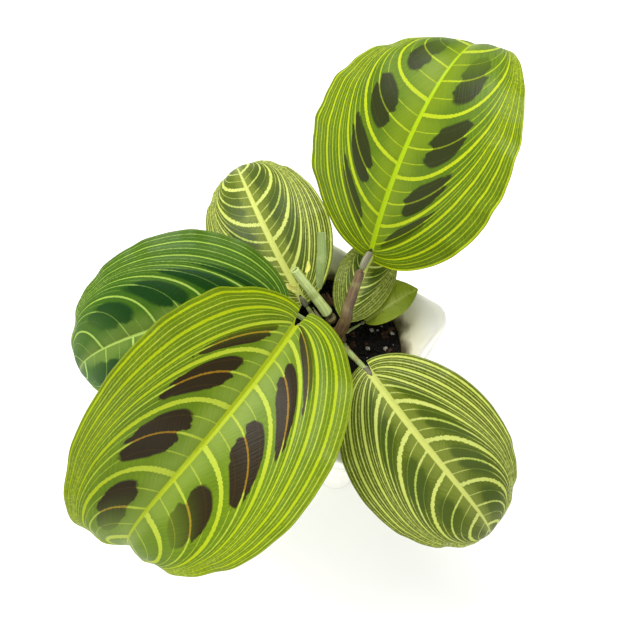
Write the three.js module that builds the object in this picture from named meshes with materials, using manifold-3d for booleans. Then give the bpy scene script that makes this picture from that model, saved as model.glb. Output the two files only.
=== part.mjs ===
// A young prayer plant in a 9 cm square nursery pot, in millimetres, +Z up.
// The origin is the centre of the pot's underside, with the pot's sides along X and Y.
// Every leaf blade, stalk, sheath and loose grain is a closed solid of its own.
import * as THREE from 'three';
import { mergeVertices } from 'three/addons/utils/BufferGeometryUtils.js';
import Module from 'manifold-3d';

const wasm = await Module();
wasm.setup();

// ---- driving dimensions ----
const POT_HEIGHT = 90;
const POT_BASE_HALF = 37;          // half the width across the flats at the base
const POT_BODY_HALF = 43.6;        // the same just under the collar
const COLLAR_HALF = 45;
const COLLAR_HEIGHT = 7;
const POT_CORNER = 9;              // outer corner radius
const RIB_HEIGHTS = [77, 70, 63];  // three fine ribs round the body
const RIB_PROUD = 0.5;
const FLOOR = 3;
const CAVITY_BASE_RADIUS = 33.5;   // the cavity is round at the soil and square at the rim
const CAVITY_SOIL_RADIUS = 38.5;
const CAVITY_RIM_HALF = 43.4;
const CAVITY_RIM_CORNER = 10;
const SOIL_TOP = 75;
const DRAIN_RADIUS = 3;
const DRAIN_RING = 24;
const DRAIN_COUNT = 8;
const GAP = 0.3;                   // clearance between pieces that rest on each other
const BLADE = 1;                   // thickness of a leaf blade solid

// ---- materials, one function for each ----
function material(colour, roughness) {
  return new THREE.MeshStandardMaterial({ color: colour, roughness, metalness: 0 });
}
const potPlastic = () => material(0xf2f0ea, 0.4);
const soilPeat = () => material(0x1a120c, 0.95);
const limeLeaf = () => material(0x86a01e, 0.45);
const deepLeaf = () => material(0x3f7a1c, 0.45);
const youngLeaf = () => material(0x9cb83a, 0.5);
const stalkGreen = () => material(0x9aa860, 0.5);
const stalkBrown = () => material(0x7a5a3c, 0.6);
const paleStem = () => material(0xc4d494, 0.45);
const drySheath = () => material(0x8a6a48, 0.8);
const yellowScrap = () => material(0xe8e080, 0.7);
const perliteWhite = () => material(0xd8d8d2, 0.9);
const barkBrown = () => material(0x4a2e1c, 0.9);

// ---- building closed solids ----
// A loft joins rings of equal length; capFaces are triangles of one ring's indices.
function loft(rings, capFaces) {
  const count = rings[0].length;
  const positions = rings.flat().flatMap((p) => [p.x, p.y, p.z]);
  const index = [];
  for (let r = 0; r < rings.length - 1; r += 1) {
    for (let i = 0; i < count; i += 1) {
      const j = (i + 1) % count;
      const a = r * count + i;
      const b = r * count + j;
      index.push(a, b, b + count, a, b + count, a + count);
    }
  }
  const last = (rings.length - 1) * count;
  for (const [a, b, c] of capFaces) {
    index.push(c, b, a);
    index.push(last + a, last + b, last + c);
  }
  const geometry = new THREE.BufferGeometry();
  geometry.setAttribute('position', new THREE.Float32BufferAttribute(positions, 3));
  geometry.setIndex(index);
  return geometry;
}

function fanCap(count) {
  return Array.from({ length: count - 2 }, (_, i) => [0, i + 1, i + 2]);
}

// The end of a flat ring: the lower edge runs out and the upper edge runs back.
function stripCap(count) {
  const faces = [];
  for (let i = 0; i < count / 2 - 1; i += 1) {
    faces.push([i, i + 1, count - 2 - i]);
    faces.push([i, count - 2 - i, count - 1 - i]);
  }
  return faces;
}

// A sweep carries a flat outline along a curve; outline(t) lists [x, y] points in turn.
function sweep(curve, steps, outline, cap) {
  const frames = curve.computeFrenetFrames(steps, false);
  const rings = [];
  for (let k = 0; k <= steps; k += 1) {
    const centre = curve.getPointAt(k / steps);
    rings.push(outline(k / steps).map(([x, y]) => centre.clone()
      .addScaledVector(frames.normals[k], x)
      .addScaledVector(frames.binormals[k], y)));
  }
  return loft(rings, cap ?? fanCap(rings[0].length));
}

function circle(radius, sides) {
  return Array.from({ length: sides }, (_, i) => {
    const angle = (i / sides) * 2 * Math.PI;
    return [radius * Math.cos(angle), radius * Math.sin(angle)];
  });
}

function curveThrough(points) {
  return new THREE.CatmullRomCurve3(points.map(([x, y, z]) => new THREE.Vector3(x, y, z)));
}

// Part of a curve, from t0 to t1 of its length.
function stretch(curve, t0, t1) {
  const points = Array.from({ length: 9 }, (_, i) => curve.getPointAt(t0 + ((t1 - t0) * i) / 8));
  return new THREE.CatmullRomCurve3(points);
}

const plant = new THREE.Group();

function add(name, geometry, colour) {
  const mesh = new THREE.Mesh(geometry, colour);
  mesh.name = name;
  plant.add(mesh);
  return mesh;
}

// ---- pot ----
function roundedSquare(half, corner, z) {
  const ring = [];
  for (let quarter = 0; quarter < 4; quarter += 1) {
    for (let step = 0; step <= 5; step += 1) {
      const angle = ((quarter + step / 5) * Math.PI) / 2;
      const turn = ((quarter + 0.5) * Math.PI) / 2;
      const cx = Math.sign(Math.cos(turn)) * (half - corner);
      const cy = Math.sign(Math.sin(turn)) * (half - corner);
      ring.push(new THREE.Vector3(cx + corner * Math.cos(angle), cy + corner * Math.sin(angle), z));
    }
  }
  return ring;
}

function bodyHalf(z) {
  const collarBottom = POT_HEIGHT - COLLAR_HEIGHT;
  return POT_BASE_HALF + ((POT_BODY_HALF - POT_BASE_HALF) * z) / collarBottom;
}

function potOutside() {
  const levels = [[0, POT_BASE_HALF]];
  for (const z of [...RIB_HEIGHTS].reverse()) {
    levels.push([z - 0.9, bodyHalf(z)], [z - 0.5, bodyHalf(z) + RIB_PROUD]);
    levels.push([z + 0.5, bodyHalf(z) + RIB_PROUD], [z + 0.9, bodyHalf(z)]);
  }
  levels.push([POT_HEIGHT - COLLAR_HEIGHT, POT_BODY_HALF]);
  levels.push([POT_HEIGHT - COLLAR_HEIGHT + 0.6, COLLAR_HALF]);
  levels.push([POT_HEIGHT - 0.8, COLLAR_HALF], [POT_HEIGHT, COLLAR_HALF - 0.6]);
  const rings = levels.map(([z, half]) => roundedSquare(half, POT_CORNER, z));
  return loft(rings, fanCap(rings[0].length));
}

// The cavity's outline at height z: a circle up to the soil, then squarer towards the rim.
function cavityRing(z, inset) {
  if (z <= SOIL_TOP) {
    const share = (z - FLOOR) / (SOIL_TOP - FLOOR);
    const radius = CAVITY_BASE_RADIUS + (CAVITY_SOIL_RADIUS - CAVITY_BASE_RADIUS) * share - inset;
    return roundedSquare(radius, radius - 0.01, z);
  }
  const share = Math.min((z - SOIL_TOP) / (POT_HEIGHT - SOIL_TOP), 1);
  const half = CAVITY_SOIL_RADIUS + (CAVITY_RIM_HALF - CAVITY_SOIL_RADIUS) * share;
  const corner = CAVITY_SOIL_RADIUS + (CAVITY_RIM_CORNER - CAVITY_SOIL_RADIUS) * share;
  return roundedSquare(half, corner - 0.01, z);
}

function potCavity() {
  const levels = [FLOOR, 40, SOIL_TOP, 78, 81, 84, 87, POT_HEIGHT, POT_HEIGHT + 1];
  const rings = levels.map((z) => cavityRing(z, 0));
  return loft(rings, fanCap(rings[0].length));
}

function drainHole(index) {
  const angle = ((index + 0.5) / DRAIN_COUNT) * 2 * Math.PI;
  const hole = new THREE.CylinderGeometry(DRAIN_RADIUS, DRAIN_RADIUS, FLOOR + 2, 16);
  hole.rotateX(Math.PI / 2);
  hole.translate(DRAIN_RING * Math.cos(angle), DRAIN_RING * Math.sin(angle), FLOOR / 2);
  return hole;
}

function toManifold(geometry) {
  const bare = geometry.clone();
  bare.deleteAttribute('normal');
  bare.deleteAttribute('uv');
  const merged = mergeVertices(bare, 1e-4);
  return new wasm.Manifold(new wasm.Mesh({
    numProp: 3,
    vertProperties: merged.attributes.position.array,
    triVerts: new Uint32Array(merged.index.array),
  }));
}

function fromManifold(solid) {
  const mesh = solid.getMesh();
  const geometry = new THREE.BufferGeometry();
  geometry.setAttribute('position', new THREE.BufferAttribute(mesh.vertProperties, 3));
  geometry.setIndex(new THREE.BufferAttribute(mesh.triVerts, 1));
  return geometry;
}

function addPot() {
  let solid = toManifold(potOutside()).subtract(toManifold(potCavity()));
  for (let i = 0; i < DRAIN_COUNT; i += 1) {
    solid = solid.subtract(toManifold(drainHole(i)));
  }
  add('pot', fromManifold(solid), potPlastic());
}

function addSoil() {
  const levels = [FLOOR + GAP, 40, SOIL_TOP - 1, SOIL_TOP];
  const rings = levels.map((z, i) => cavityRing(z, GAP + (i === 3 ? 1 : 0)));
  add('potting_soil', loft(rings, fanCap(rings[0].length)), soilPeat());
}

// ---- leaf blades ----
// Angles are in degrees. The midrib leaves the base at its heading and pitch, bends sideways by
// `bend`, sinks by `droop` and dips by `curl` at the very tip. Each half opens at its fold angle
// above the midrib and arches down by its arch angle at the margin.
const LEAVES = {
  upper_right: {
    base: [2, 39, 118], heading: 102, bend: -20, pitch: 63, droop: 50, curl: 90, roll: -17, twist: 0,
    length: 116, left: 50, right: 50, widest: 0.45, foldLeft: 10, foldRight: 15,
    archLeft: 25, archRight: 25, lobe: 0.05, colour: limeLeaf,
    stalk: [[4, 8, 83], [5.5, 10, 90], [6, 12.5, 97], [4.8, 16, 102], [2.2, 30, 111.5], [2, 38, 117]],
    stalkRadius: 1.3, pulvinus: 9,
  },
  front: {
    base: [-6, -10, 118], heading: 278, bend: -32, pitch: 24, droop: 69, curl: 60, roll: -8, twist: -20,
    length: 138, left: 48, right: 49, widest: 0.45, foldLeft: 22, foldRight: 28,
    archLeft: 12, archRight: 6, lobe: 0.07, colour: limeLeaf,
    stalk: [[5, 3.5, 82], [5.5, -2, 95], [3.5, -6.5, 107], [-1.5, -8.5, 114], [-5.6, -9.8, 117.2]],
    stalkRadius: 1.3, pulvinus: 9,
  },
  left: {
    base: [-21.3, -2.7, 109], heading: 227, bend: -3, pitch: 12.5, droop: 49.5, curl: 45, roll: -21,
    twist: 0, length: 108, left: 47, right: 40, widest: 0.37, foldLeft: 15, foldRight: 15,
    archLeft: 30, archRight: 30, lobe: 0.06, colour: deepLeaf,
    stalk: [[-0.5, 5.5, 81.5], [-6, 3.7, 90], [-12.8, 0.9, 99.5], [-20.5, -2.2, 108.2]],
    stalkRadius: 1.2, pulvinus: 8,
  },
  lower_right: {
    base: [31, -6, 101], heading: 335, bend: 25, pitch: 5, droop: 63, curl: 25, roll: 18, twist: -5,
    length: 102, left: 33, right: 36, widest: 0.4, foldLeft: 15, foldRight: 12,
    archLeft: 20, archRight: 20, lobe: 0.07, colour: deepLeaf,
    stalk: [[8.6, 7.4, 79.5], [13, 4.5, 82.5], [19.2, 1.1, 88], [25.5, -3, 95.5], [30.2, -5.8, 100.4]],
    stalkRadius: 1.3, pulvinus: 6,
  },
  upper_left: {
    base: [-19, 12, 94], heading: 154, bend: -15, pitch: 19, droop: 36, curl: 40, roll: -10, twist: -5,
    length: 85, left: 29, right: 30, widest: 0.38, foldLeft: 14, foldRight: 15,
    archLeft: 30, archRight: 25, lobe: 0.06, colour: deepLeaf,
    stalk: [[-2.2, 9, 79.5], [-8, 9.5, 83.5], [-14, 10.8, 88.5], [-18.4, 11.8, 93.3]],
    stalkRadius: 1.1, pulvinus: 6,
  },
  middle: {
    base: [4.5, 16, 90], heading: 103, bend: -10, pitch: 23, droop: 39, curl: 25, roll: 2, twist: 0,
    length: 47, left: 12.5, right: 15, widest: 0.45, foldLeft: 10, foldRight: 10,
    archLeft: 25, archRight: 25, lobe: 0.04, colour: deepLeaf,
    stalk: [[3.6, 12.4, 82.8], [3.4, 13.4, 85], [3.7, 14.6, 87.2], [4.4, 15.8, 89.6]],
    stalkRadius: 0.8, pulvinus: 2.5,
  },
  small: {
    base: [12, 21, 85], heading: 61, bend: 0, pitch: 30, droop: 24, curl: 15, roll: -1, twist: 0,
    length: 29, left: 13, right: 7, widest: 0.5, foldLeft: 5, foldRight: 5,
    archLeft: 15, archRight: 15, lobe: 0.02, colour: youngLeaf,
    stalk: [[6, 13.3, 78.5], [7.6, 15.8, 80.5], [9.8, 18.6, 82.8], [11.6, 20.6, 84.7]],
    stalkRadius: 0.6, pulvinus: 2.5,
  },
};

const MIDRIB_STEPS = 80;
const BLADE_START = 0.016;
const BLADE_END = 0.992;
const TIP_POWER = 2.2;
const LOBE_REACH = 0.12;
const ALONG = 14;
const ACROSS = 4;                  // strips on each side of the midrib

function frameAt(leaf, u) {
  const pitch = THREE.MathUtils.degToRad(leaf.pitch - leaf.droop * u - leaf.curl * u ** 6);
  const heading = THREE.MathUtils.degToRad(leaf.heading + leaf.bend * u);
  const roll = THREE.MathUtils.degToRad(leaf.roll + leaf.twist * u);
  const along = new THREE.Vector3(
    Math.cos(pitch) * Math.cos(heading), Math.cos(pitch) * Math.sin(heading), Math.sin(pitch));
  const level = new THREE.Vector3(-Math.sin(heading), Math.cos(heading), 0);
  const up = along.clone().cross(level);
  const side = level.clone().multiplyScalar(Math.cos(roll)).addScaledVector(up, Math.sin(roll));
  const normal = up.multiplyScalar(Math.cos(roll)).addScaledVector(level, -Math.sin(roll));
  return { along, side, normal };
}

// The midrib's place at each of MIDRIB_STEPS equal steps of its length.
function midribPlaces(leaf) {
  const places = [new THREE.Vector3(...leaf.base)];
  const step = leaf.length / MIDRIB_STEPS;
  for (let k = 0; k < MIDRIB_STEPS; k += 1) {
    const { along } = frameAt(leaf, (k + 0.5) / MIDRIB_STEPS);
    places.push(places[k].clone().addScaledVector(along, step));
  }
  return places;
}

// Half-width as a share of the widest: a quarter ellipse behind, a pointed curve ahead.
function widthShare(leaf, u) {
  if (u < leaf.widest) {
    return Math.sqrt(1 - (1 - u / leaf.widest) ** 2);
  }
  return 1 - ((u - leaf.widest) / (1 - leaf.widest)) ** TIP_POWER;
}

// A point of the blade: u runs from base to tip, v from -1 (right margin) to 1 (left margin).
function bladePoint(leaf, places, u, v, height) {
  const slot = Math.min(u * MIDRIB_STEPS, MIDRIB_STEPS - 1e-6);
  const low = Math.floor(slot);
  const place = places[low].clone().lerp(places[low + 1], slot - low);
  const { along, side, normal } = frameAt(leaf, u);
  const fold = THREE.MathUtils.degToRad(v < 0 ? leaf.foldRight : leaf.foldLeft);
  const arch = THREE.MathUtils.degToRad(v < 0 ? leaf.archRight : leaf.archLeft);
  const reach = Math.abs(v);
  const width = (v < 0 ? leaf.right : leaf.left) * widthShare(leaf, u);
  const out = (width * (Math.sin(fold) - Math.sin(fold - arch * reach))) / arch;
  const rise = (width * (Math.cos(fold - arch * reach) - Math.cos(fold))) / arch;
  const back = leaf.lobe * leaf.length * v * v * Math.exp(-u / LOBE_REACH);
  return place.addScaledVector(side, Math.sign(v) * out)
    .addScaledVector(normal, rise + height)
    .addScaledVector(along, -back);
}

function bladeGeometry(leaf) {
  const places = midribPlaces(leaf);
  const rings = [];
  for (let k = 0; k <= ALONG; k += 1) {
    const eased = (k / ALONG) ** 1.35;
    const u = BLADE_START + (BLADE_END - BLADE_START) * eased;
    const ring = [];
    for (let i = -ACROSS; i <= ACROSS; i += 1) {
      ring.push(bladePoint(leaf, places, u, i / ACROSS, -BLADE / 2));
    }
    for (let i = ACROSS; i >= -ACROSS; i -= 1) {
      ring.push(bladePoint(leaf, places, u, i / ACROSS, BLADE / 2));
    }
    rings.push(ring);
  }
  return loft(rings, stripCap(rings[0].length));
}

// ---- stalks ----
function addStalk(name, leaf) {
  const curve = curveThrough(leaf.stalk);
  const split = 1 - leaf.pulvinus / curve.getLength();
  const cut = 0.35 / curve.getLength();
  const petiole = (t) => circle(leaf.stalkRadius * (1.15 - 0.25 * t), 8);
  const swollen = (t) => circle(leaf.stalkRadius * (1.05 + 0.3 * Math.sin(Math.PI * t)), 8);
  add(`petiole_${name}`, sweep(stretch(curve, 0, split), 12, petiole), stalkGreen());
  add(`pulvinus_${name}`, sweep(stretch(curve, split + cut, 1), 4, swollen), stalkBrown());
}

function addLeaves() {
  for (const [name, leaf] of Object.entries(LEAVES)) {
    add(`leaf_${name}`, bladeGeometry(leaf), leaf.colour());
    addStalk(name, leaf);
  }
}

// ---- crown, stem node and cut stub ----
const CROWN = { centre: [3, 9], radius: 4.6, bottom: SOIL_TOP + GAP, height: 6.5 };

function addCrown() {
  const { radius, height } = CROWN;
  const profile = [[0, 0], [radius, 0], [radius * 1.08, height * 0.35], [radius * 0.9, height * 0.8],
    [radius * 0.5, height], [0, height]].map(([x, y]) => new THREE.Vector2(x, y));
  const knob = new THREE.LatheGeometry(profile, 12);
  knob.rotateX(Math.PI / 2);
  knob.translate(CROWN.centre[0], CROWN.centre[1], CROWN.bottom);
  add('crown', knob, stalkBrown());
}

const NODE_PATH = [[-1.6, 13, 82.4], [-2.4, 13.4, 84.4], [-3.2, 13.5, 86.4]];
const STUB_BASE = [-4.3, 13.5, 88];
const STUB_END = [-24.1, 15.9, 108];
const STUB_RADII = [2.7, 2.0];     // at the node and at the cut
const STUB_BORE = 1.3;
const STUB_BORE_DEPTH = 12;

function addStub() {
  const node = curveThrough(NODE_PATH);
  add('stem_node', sweep(node, 4, (t) => circle(1.6 + 1.2 * t, 10)), stalkBrown());
  const base = new THREE.Vector3(...STUB_BASE);
  const axis = new THREE.Vector3(...STUB_END).sub(base);
  const length = axis.length();
  const profile = [[0, 0], [STUB_RADII[0], 0], [STUB_RADII[1], length], [STUB_BORE, length],
    [STUB_BORE, length - STUB_BORE_DEPTH], [0, length - STUB_BORE_DEPTH]]
    .map(([x, y]) => new THREE.Vector2(x, y));
  const tube = new THREE.LatheGeometry(profile, 12);
  tube.applyQuaternion(new THREE.Quaternion().setFromUnitVectors(
    new THREE.Vector3(0, 1, 0), axis.normalize()));
  tube.translate(base.x, base.y, base.z);
  add('cut_stub', tube, paleStem());
}

// ---- sheaths, the unopened leaf and torn scraps ----
// A trough: part of a ring, `spread` degrees wide, with its back towards `turn` degrees.
function trough(radius, thickness, spread, turn) {
  const points = [];
  const steps = 8;
  const angleAt = (i) => THREE.MathUtils.degToRad(turn + spread * (i / steps - 0.5));
  for (let i = 0; i <= steps; i += 1) {
    points.push([(radius + thickness) * Math.cos(angleAt(i)), (radius + thickness) * Math.sin(angleAt(i))]);
  }
  for (let i = steps; i >= 0; i -= 1) {
    points.push([radius * Math.cos(angleAt(i)), radius * Math.sin(angleAt(i))]);
  }
  return points;
}

function addSheath(name, points, radii, spread, turn, colour) {
  const outline = (t) => trough(radii[0] + (radii[1] - radii[0]) * t, 0.5, spread, turn);
  add(name, sweep(curveThrough(points), 10, outline, stripCap(18)), colour);
}

// A thin scrap: a strip whose half-width follows `shape`, one number at each step.
function addScrap(name, points, shape, thickness, colour) {
  const outline = (t) => {
    const slot = Math.min(t * (shape.length - 1), shape.length - 1 - 1e-9);
    const low = Math.floor(slot);
    const half = shape[low] + (shape[low + 1] - shape[low]) * (slot - low);
    return [[-half, -thickness / 2], [half, -thickness / 2], [half, thickness / 2], [-half, thickness / 2]];
  };
  const steps = (shape.length - 1) * 2;
  add(name, sweep(curveThrough(points), steps, outline), colour);
}

function addSheathsAndScraps() {
  const tallStalk = LEAVES.upper_right.stalk.slice(0, 5);
  addSheath('sheath_upper_right', tallStalk, [2.3, 1.75], 230, 90, stalkBrown());
  addSheath('sheath_dark', [[-5.4, 17.8, 84.5], [-8.2, 19, 88], [-10.6, 20, 91]], [1.6, 1.2], 150, 200,
    drySheath());
  addSheath('sheath_papery', [[-4.6, 9.1, 81.1], [-8, 9.5, 83.5], [-13, 10.5, 87.6]], [2.1, 1.7], 200, 90,
    drySheath());
  addScrap('rolled_new_leaf', [[-12.3, 18.1, 98.2], [-14.3, 22.4, 106.5], [-16.7, 27.6, 114], [-20.7, 33, 120]],
    [1, 1.7, 2.1, 2.2, 2.1, 1.9, 1.6], 0.8, paleStem());
  addScrap('torn_scrap_left', [[-20.5, 12, 97.6], [-22.6, 10.4, 100.6], [-24.6, 9.6, 103]],
    [0.8, 1.9, 1.2, 1.6, 0.5], 0.6, yellowScrap());
  addScrap('torn_scrap_right', [[0.6, 17.6, 86], [-0.4, 20, 87.6], [-2.4, 22.6, 88.8]],
    [0.5, 1.2, 0.8, 1.1, 0.4], 0.6, yellowScrap());
  addScrap('torn_scrap_stub', [[-19.4, 18.3, 106], [-19.6, 20.4, 107], [-20.9, 22.6, 108.8]],
    [0.5, 1.1, 0.8, 0.4], 0.6, yellowScrap());
}

// ---- loose grains on the soil ----
const PERLITE = [[15, 22, 2.1], [24, 26, 1.9], [18.5, 13, 1.8], [25.5, 17.5, 2], [22.5, 4.5, 1.7],
  [29, 8, 1.5], [-22, -14, 2], [8, -24, 1.8], [-8, 30, 1.7], [-27, 17, 1.9]];
const BARK = [[31.5, 15, 2.4], [4, 31, 2.8], [-14, -26, 3], [20, -20, 2.6]];

function addGrains() {
  PERLITE.forEach(([x, y, radius], i) => {
    const grain = new THREE.IcosahedronGeometry(radius, 0);
    grain.rotateZ(i);
    grain.scale(1, 0.85, 0.7);
    grain.translate(x, y, SOIL_TOP + GAP + radius * 0.6);
    add(`perlite_${i + 1}`, grain, perliteWhite());
  });
  BARK.forEach(([x, y, radius], i) => {
    const chip = new THREE.DodecahedronGeometry(radius, 0);
    chip.scale(1, 0.5, 0.35);
    chip.rotateZ(i * 1.3);
    chip.translate(x, y, SOIL_TOP + GAP + radius * 0.36);
    add(`bark_chip_${i + 1}`, chip, barkBrown());
  });
}

addPot();
addSoil();
addCrown();
addStub();
addLeaves();
addSheathsAndScraps();
addGrains();

export default plant;
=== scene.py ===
# %% [markdown]
# # A young prayer plant in a square nursery pot
#
# Seven leaf blades stand on arching stalks that rise from one short crown in a pot of dark peat.
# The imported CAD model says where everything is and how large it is. Here each of its pieces is
# rebuilt with a fine surface and the finish of the real thing, in metres, in the same places.

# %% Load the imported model
import math

import bpy
import numpy as np
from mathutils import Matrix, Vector, noise


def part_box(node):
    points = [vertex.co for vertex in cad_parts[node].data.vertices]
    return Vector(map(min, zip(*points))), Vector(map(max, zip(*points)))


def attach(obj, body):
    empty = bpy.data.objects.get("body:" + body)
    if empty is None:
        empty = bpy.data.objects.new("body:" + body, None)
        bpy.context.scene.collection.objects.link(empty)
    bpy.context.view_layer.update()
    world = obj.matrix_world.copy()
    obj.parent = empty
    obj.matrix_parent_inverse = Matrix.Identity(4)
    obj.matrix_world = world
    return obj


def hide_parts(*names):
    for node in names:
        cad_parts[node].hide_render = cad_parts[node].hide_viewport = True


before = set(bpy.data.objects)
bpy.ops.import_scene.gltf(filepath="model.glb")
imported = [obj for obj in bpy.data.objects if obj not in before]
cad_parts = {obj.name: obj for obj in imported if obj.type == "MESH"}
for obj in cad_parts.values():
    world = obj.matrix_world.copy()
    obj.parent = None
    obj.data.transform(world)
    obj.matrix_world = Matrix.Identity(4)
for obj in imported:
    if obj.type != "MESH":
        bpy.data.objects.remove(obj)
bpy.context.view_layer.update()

MM = 0.001

# %% [markdown]
# ## Camera, floor and light
#
# The plant is seen from high up, a hand's length above the leaves, with the tallest leaf beyond
# the pot and the largest one hanging towards the eye. The aim is a little beyond the middle of the
# rim. A large soft key light, a fill and a pale world give gentle shade with no hard shadows, as a
# bright day indoors does.

# %% Camera
AZIMUTH = math.radians(33)
ELEVATION = math.radians(66)
DISTANCE = 0.426
AIM_BEYOND_RIM = 8.7 * MM
LENS = 52.3

rim_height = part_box("pot")[1].z
ahead = Vector((-math.sin(AZIMUTH) * math.cos(ELEVATION),
                math.cos(AZIMUTH) * math.cos(ELEVATION), -math.sin(ELEVATION)))
upward = Vector((-math.sin(AZIMUTH) * math.sin(ELEVATION),
                 math.cos(AZIMUTH) * math.sin(ELEVATION), math.cos(ELEVATION)))
aim = Vector((0, 0, rim_height)) + upward * AIM_BEYOND_RIM
bpy.ops.object.camera_add(location=aim - ahead * DISTANCE,
                          rotation=(math.pi / 2 - ELEVATION, 0, AZIMUTH))
camera = bpy.context.object
camera.data.lens = LENS
bpy.context.scene.camera = camera
print("camera at, mm:", [round(c / MM, 1) for c in camera.location])

# %% Soft light and a pale world
def soft_light(name, place, width, watts):
    """A square area light of this width that faces the middle of the plant."""
    bpy.ops.object.light_add(type="AREA", location=place)
    light = bpy.context.object
    light.name = name
    light.data.size = width
    light.data.energy = watts
    light.rotation_euler = (aim - Vector(place)).to_track_quat("-Z", "Y").to_euler()


soft_light("key_light", (-0.55, 0.25, 1.15), 0.7, 17)
soft_light("fill_light", (0.9, -0.7, 0.8), 0.9, 6)
soft_light("low_fill", (-0.7, -0.9, 0.35), 0.8, 3)

world = bpy.data.worlds.new("pale_room")
bpy.context.scene.world = world
world.use_nodes = True
world.node_tree.nodes["Background"].inputs["Color"].default_value = (1, 1, 1, 1)
world.node_tree.nodes["Background"].inputs["Strength"].default_value = 0.85
bpy.context.scene.view_settings.view_transform = "Standard"

# %% [markdown]
# ## Helpers for finishes
#
# Every finish is a small network of nodes. One function turns a web colour into the linear colour
# that the shader wants, one starts a material, and one adds a node with its settings and links.

# %% Colour, material and node helpers
RANGE, MIX, NOISE = "ShaderNodeMapRange", "ShaderNodeMix", "ShaderNodeTexNoise"
UV_MAP, SPLIT, JOIN = "ShaderNodeUVMap", "ShaderNodeSeparateXYZ", "ShaderNodeCombineXYZ"
SMOOTH = {"interpolation_type": "SMOOTHSTEP"}   # a Map Range that eases in and out
COLOURS = {"data_type": "RGBA", "out": 2}       # a Mix of the colours on its inputs 6 and 7


def colour(code):
    """A web colour such as #80a020 as the linear RGBA that shaders use."""
    parts = [int(code[i:i + 2], 16) / 255 for i in (1, 3, 5)]
    return (*[p / 12.92 if p <= 0.04045 else ((p + 0.055) / 1.055) ** 2.4 for p in parts], 1)


def wire(tree, kind, *values, out=0, **settings):
    """Add a node and return one of its outputs, or with out=None the node itself.

    A kind such as ADD is a Math node with that operation. The values fill the node's inputs in
    order, or one dict names them. A socket is linked and a web colour is turned linear.
    """
    if not kind.startswith("ShaderNode"):
        kind, settings = "ShaderNodeMath", {"operation": kind}
    made = tree.nodes.new(kind)
    for name, value in settings.items():
        setattr(made, name, value)
    named = values[0] if values and isinstance(values[0], dict) else dict(enumerate(values))
    for slot, value in named.items():
        if isinstance(value, bpy.types.NodeSocket):
            tree.links.new(value, made.inputs[slot])
        else:
            made.inputs[slot].default_value = colour(value) if isinstance(value, str) else value
    return made if out is None else made.outputs[out]


def start_finish(name, roughness):
    """A new material, its node tree, its Principled shader and its piece's own metres."""
    material = bpy.data.materials.new(name)
    material.use_nodes = True
    shader = material.node_tree.nodes["Principled BSDF"]
    shader.inputs["Roughness"].default_value = roughness
    metres = wire(material.node_tree, "ShaderNodeTexCoord", out=3)
    return material, material.node_tree, shader, metres


def raise_bumps(tree, shader, height, depth_mm, strength=1.0):
    """Feed a height between 0 and 1 to the shader as relief of this depth in millimetres."""
    relief = wire(tree, "ShaderNodeBump",
                  {"Height": height, "Distance": depth_mm * MM, "Strength": strength})
    tree.links.new(relief, shader.inputs["Normal"])


# %% Floor
bpy.ops.mesh.primitive_plane_add(size=8, location=(0, 0, -0.3 * MM))
floor = bpy.context.object
floor.name = "floor"
floor_paint, _, floor_shader, _ = start_finish("pale_floor_paint", 0.9)
floor_shader.inputs["Base Color"].default_value = colour("#f6f6f4")
floor.data.materials.append(floor_paint)

# %% [markdown]
# ## One way to make every grown piece
#
# A leaf, a stalk and a sheath are all thin skins, so each starts as a flat grid, as a sheet of
# clay would, and is laid into space by a formula. Edit mode then welds the seam of a tube and
# closes its ends, and a modifier gives an open sheet its thickness.

# %% Lay a grid into space
def lay_grid(name, along, across, place):
    """A grid laid by place(s, t), which gives millimetres for s and t from 0 to 1."""
    bpy.ops.object.select_all(action="DESELECT")
    bpy.ops.mesh.primitive_grid_add(x_subdivisions=along, y_subdivisions=across, size=2)
    piece = bpy.context.object
    piece.name = piece.data.name = name
    flat = np.empty(len(piece.data.vertices) * 3)
    piece.data.vertices.foreach_get("co", flat)
    s, t = (flat.reshape(-1, 3)[:, :2].T + 1) / 2
    piece.data.vertices.foreach_set("co", (place(s, t) * MM).ravel())
    piece.data.uv_layers.remove(piece.data.uv_layers[0])
    piece.data.update()
    return piece, s, t


def write_uv(piece, name, values):
    """A UV map of this name; values holds one pair for each corner of each face."""
    layer = piece.data.uv_layers.new(name=name, do_init=False)
    layer.data.foreach_set("uv", np.asarray(values, dtype=np.float32).ravel())


def corner_vertices(piece):
    corners = np.empty(len(piece.data.loops), dtype=np.int32)
    piece.data.loops.foreach_get("vertex_index", corners)
    return corners


def apply_modifier(piece, kind, **settings):
    bpy.context.view_layer.objects.active = piece
    modifier = piece.modifiers.new(kind.lower(), kind)
    for name, value in settings.items():
        setattr(modifier, name, value)
    bpy.ops.object.modifier_apply(modifier=modifier.name)


def weld_closed(piece):
    """Merge the seam and the poles, fill what is still open, and turn the faces outwards."""
    bpy.context.view_layer.objects.active = piece
    bpy.ops.object.mode_set(mode="EDIT")
    bpy.ops.mesh.select_all(action="SELECT")
    bpy.ops.mesh.remove_doubles(threshold=2e-6)
    bpy.ops.mesh.fill_holes(sides=0)
    bpy.ops.mesh.select_all(action="SELECT")
    bpy.ops.mesh.normals_make_consistent(inside=False)
    bpy.ops.object.mode_set(mode="OBJECT")


def settle(piece, nodes, material, angle=60):
    """Smooth the piece, give it its finish and slot, and let it stand for its CAD nodes."""
    bpy.ops.object.select_all(action="DESELECT")
    piece.select_set(True)
    bpy.context.view_layer.objects.active = piece
    bpy.ops.object.shade_smooth_by_angle(angle=math.radians(angle))
    if material is not None:
        piece.data.materials.clear()
        piece.data.materials.append(material)
    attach(piece, "root")
    if nodes:
        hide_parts(*nodes)
    print(piece.name, len(piece.data.polygons), "faces")


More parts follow.
